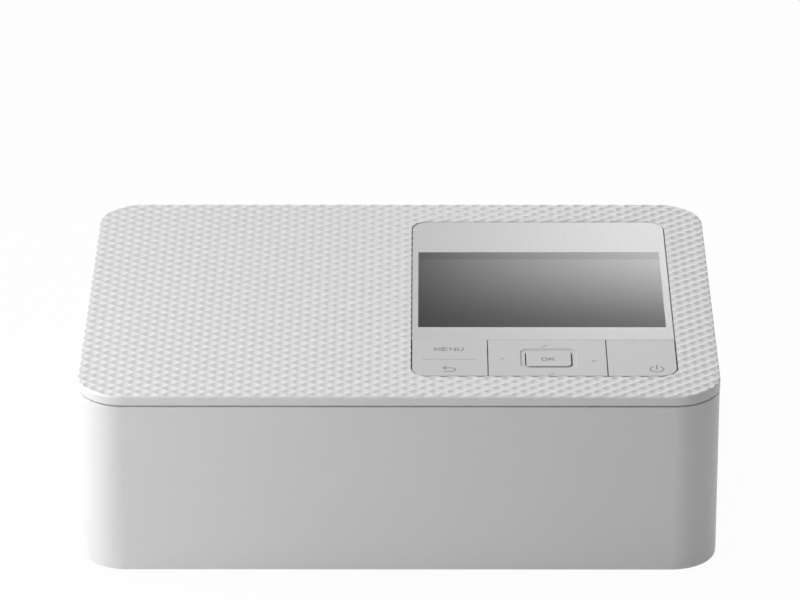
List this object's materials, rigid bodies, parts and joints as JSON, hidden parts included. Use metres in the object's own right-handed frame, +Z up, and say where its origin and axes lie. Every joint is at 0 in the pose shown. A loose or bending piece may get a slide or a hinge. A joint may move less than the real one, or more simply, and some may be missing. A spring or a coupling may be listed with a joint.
{
  "type": "compact photo printer",
  "caption": "Compact photo printer with a hinged front cover, a side ribbon door, a fixed picture display, keys and a roller and thermal-head print mechanism inside.",
  "frame": {"origin": "bottom centre of the printer's box, on the table", "axes": "+X to the right seen from the front, +Y to the back, +Z up"},
  "size_m": [0.1822, 0.133, 0.0576],
  "materials": {
    "case_white": "fine-grained white moulded plastic",
    "lid_white": "white moulded plastic with a raised diamond net on top",
    "foot_rubber": "soft dark rubber",
    "screw_steel": "zinc-plated screws",
    "bright_steel": "ground bright steel",
    "inner_grey": "grey moulded inner plastic",
    "bezel_white": "smooth glossy white sheet",
    "screen_dark": "dark picture window",
    "key_white": "satin white key caps",
    "board_green": "green circuit board",
    "black_plastic": "black moulded plastic",
    "sheet_steel": "galvanised sheet steel",
    "brass_bush": "plain turned brass",
    "roller_rubber": "ground black roller rubber",
    "gear_white": "natural acetal",
    "motor_steel": "plated motor can",
    "cassette_grey": "grey cassette plastic",
    "ribbon_foil": "thin dye ribbon",
    "head_ceramic": "glazed ceramic strip",
    "head_alu": "extruded aluminium",
    "latch_blue": "blue finger latch"
  },
  "bodies": {
    "case": {"base_pan": "case_white", "rubber_feet": "foot_rubber", "body_shell": "case_white", "base_screws": "screw_steel", "lid_shell": "lid_white", "cover_pins": "bright_steel", "door_pin": "bright_steel", "panel_frame": "inner_grey", "display_bezel": "bezel_white", "lcd_window": "screen_dark", "lcd_module": "screen_dark", "key_board": "board_green", "key_switches": "black_plastic", "paper_bay": "inner_grey", "paper_guides": "inner_grey", "chassis_left": "sheet_steel", "chassis_right": "sheet_steel", "chassis_ties": "sheet_steel", "chassis_screws": "screw_steel", "bushings": "brass_bush", "pickup_shaft": "bright_steel", "gear_bracket": "sheet_steel", "drive_motor": "motor_steel", "ribbon_motor": "motor_steel", "ribbon_case": "cassette_grey", "ribbon_film": "ribbon_foil", "head_shaft": "bright_steel", "head_springs": "bright_steel", "main_board": "board_green", "board_parts": "black_plastic", "dc_jack": "black_plastic", "card_slot": "sheet_steel", "usb_port": "sheet_steel"},
    "front_cover": {"front_cover": "case_white"},
    "ribbon_door": {"ribbon_door": "case_white"},
    "menu_key": {"menu_key": "key_white"},
    "dpad_key": {"dpad_key": "key_white"},
    "ok_key": {"ok_key": "key_white"},
    "power_key": {"power_key": "key_white"},
    "platen": {"platen_roller": "roller_rubber", "platen_shaft": "bright_steel"},
    "grip": {"grip_roller": "bright_steel", "grip_gear": "gear_white"},
    "pinch": {"pinch_roller": "bright_steel"},
    "idler": {"idler_gear": "gear_white"},
    "drive_pinion": {"drive_pinion": "brass_bush"},
    "ribbon_pinion": {"ribbon_pinion": "brass_bush"},
    "takeup": {"takeup_hub": "black_plastic", "takeup_gear": "gear_white", "takeup_spool": "gear_white"},
    "supply": {"supply_hub": "black_plastic", "supply_spool": "gear_white", "supply_roll": "ribbon_foil"},
    "head": {"thermal_head": "head_ceramic", "head_heatsink": "head_alu", "head_arms": "sheet_steel"},
    "pickup_arm": {"pickup_arm": "black_plastic"},
    "pickup_roller": {"pickup_roller": "roller_rubber"},
    "ribbon_latch": {"ribbon_latch": "latch_blue"}
  },
  "joints": [
    {"name": "cover_hinge", "type": "hinge", "parent": "case", "child": "front_cover", "pos_m": [0, -0.058, 0.009], "axis": [1, 0, 0], "range_deg": [0, 90]},
    {"name": "door_hinge", "type": "hinge", "parent": "case", "child": "ribbon_door", "pos_m": [0.0878, 0, 0.0112], "axis": [0, 1, 0], "range_deg": [0, 90]},
    {"name": "menu_press", "type": "slide", "parent": "case", "child": "menu_key", "axis": [0, 0, -1], "range_m": [0, 0.0005], "stiffness_N_per_m": 600},
    {"name": "dpad_press", "type": "slide", "parent": "case", "child": "dpad_key", "axis": [0, 0, -1], "range_m": [0, 0.0005], "stiffness_N_per_m": 600},
    {"name": "ok_press", "type": "slide", "parent": "case", "child": "ok_key", "axis": [0, 0, -1], "range_m": [0, 0.0005], "stiffness_N_per_m": 600},
    {"name": "power_press", "type": "slide", "parent": "case", "child": "power_key", "axis": [0, 0, -1], "range_m": [0, 0.0005], "stiffness_N_per_m": 600},
    {"name": "head_lift", "type": "hinge", "parent": "case", "child": "head", "pos_m": [0, 0.056, 0.0464], "axis": [1, 0, 0], "range_deg": [0, 2.7]},
    {"name": "platen_spin", "type": "hinge", "parent": "case", "child": "platen", "pos_m": [0, 0.0226, 0.013], "axis": [1, 0, 0], "continuous": true},
    {"name": "grip_spin", "type": "hinge", "parent": "case", "child": "grip", "pos_m": [0, -0.014, 0.015], "axis": [1, 0, 0], "continuous": true},
    {"name": "pinch_spin", "type": "hinge", "parent": "case", "child": "pinch", "pos_m": [0, -0.014, 0.02315], "axis": [1, 0, 0], "continuous": true},
    {"name": "idler_spin", "type": "hinge", "parent": "case", "child": "idler", "pos_m": [0, -0.0215, 0.02799], "axis": [1, 0, 0], "continuous": true},
    {"name": "drive_pinion_spin", "type": "hinge", "parent": "case", "child": "drive_pinion", "pos_m": [0, -0.03605, 0.03639], "axis": [1, 0, 0], "continuous": true},
    {"name": "takeup_spin", "type": "hinge", "parent": "case", "child": "takeup", "pos_m": [0, 0.004, 0.0318], "axis": [1, 0, 0], "continuous": true},
    {"name": "ribbon_pinion_spin", "type": "hinge", "parent": "case", "child": "ribbon_pinion", "pos_m": [0, 0.01699, 0.0393], "axis": [1, 0, 0], "continuous": true},
    {"name": "supply_spin", "type": "hinge", "parent": "case", "child": "supply", "pos_m": [0, 0.04, 0.0318], "axis": [1, 0, 0], "continuous": true},
    {"name": "pickup_swing", "type": "hinge", "parent": "case", "child": "pickup_arm", "pos_m": [0, -0.024, 0.044], "axis": [1, 0, 0], "range_deg": [0, 20]},
    {"name": "pickup_spin", "type": "hinge", "parent": "pickup_arm", "child": "pickup_roller", "pos_m": [0, -0.037, 0.0397], "axis": [1, 0, 0], "continuous": true},
    {"name": "latch_slide", "type": "slide", "parent": "case", "child": "ribbon_latch", "axis": [0, 0, 1], "range_m": [0, 0.003], "stiffness_N_per_m": 80}
  ],
  "couplings": [
    {"joint": "pinch_spin", "follows": "grip_spin", "ratio": -1},
    {"joint": "idler_spin", "follows": "grip_spin", "ratio": -2.125},
    {"joint": "drive_pinion_spin", "follows": "grip_spin", "ratio": 6.375},
    {"joint": "ribbon_pinion_spin", "follows": "takeup_spin", "ratio": -2.5714}
  ]
}
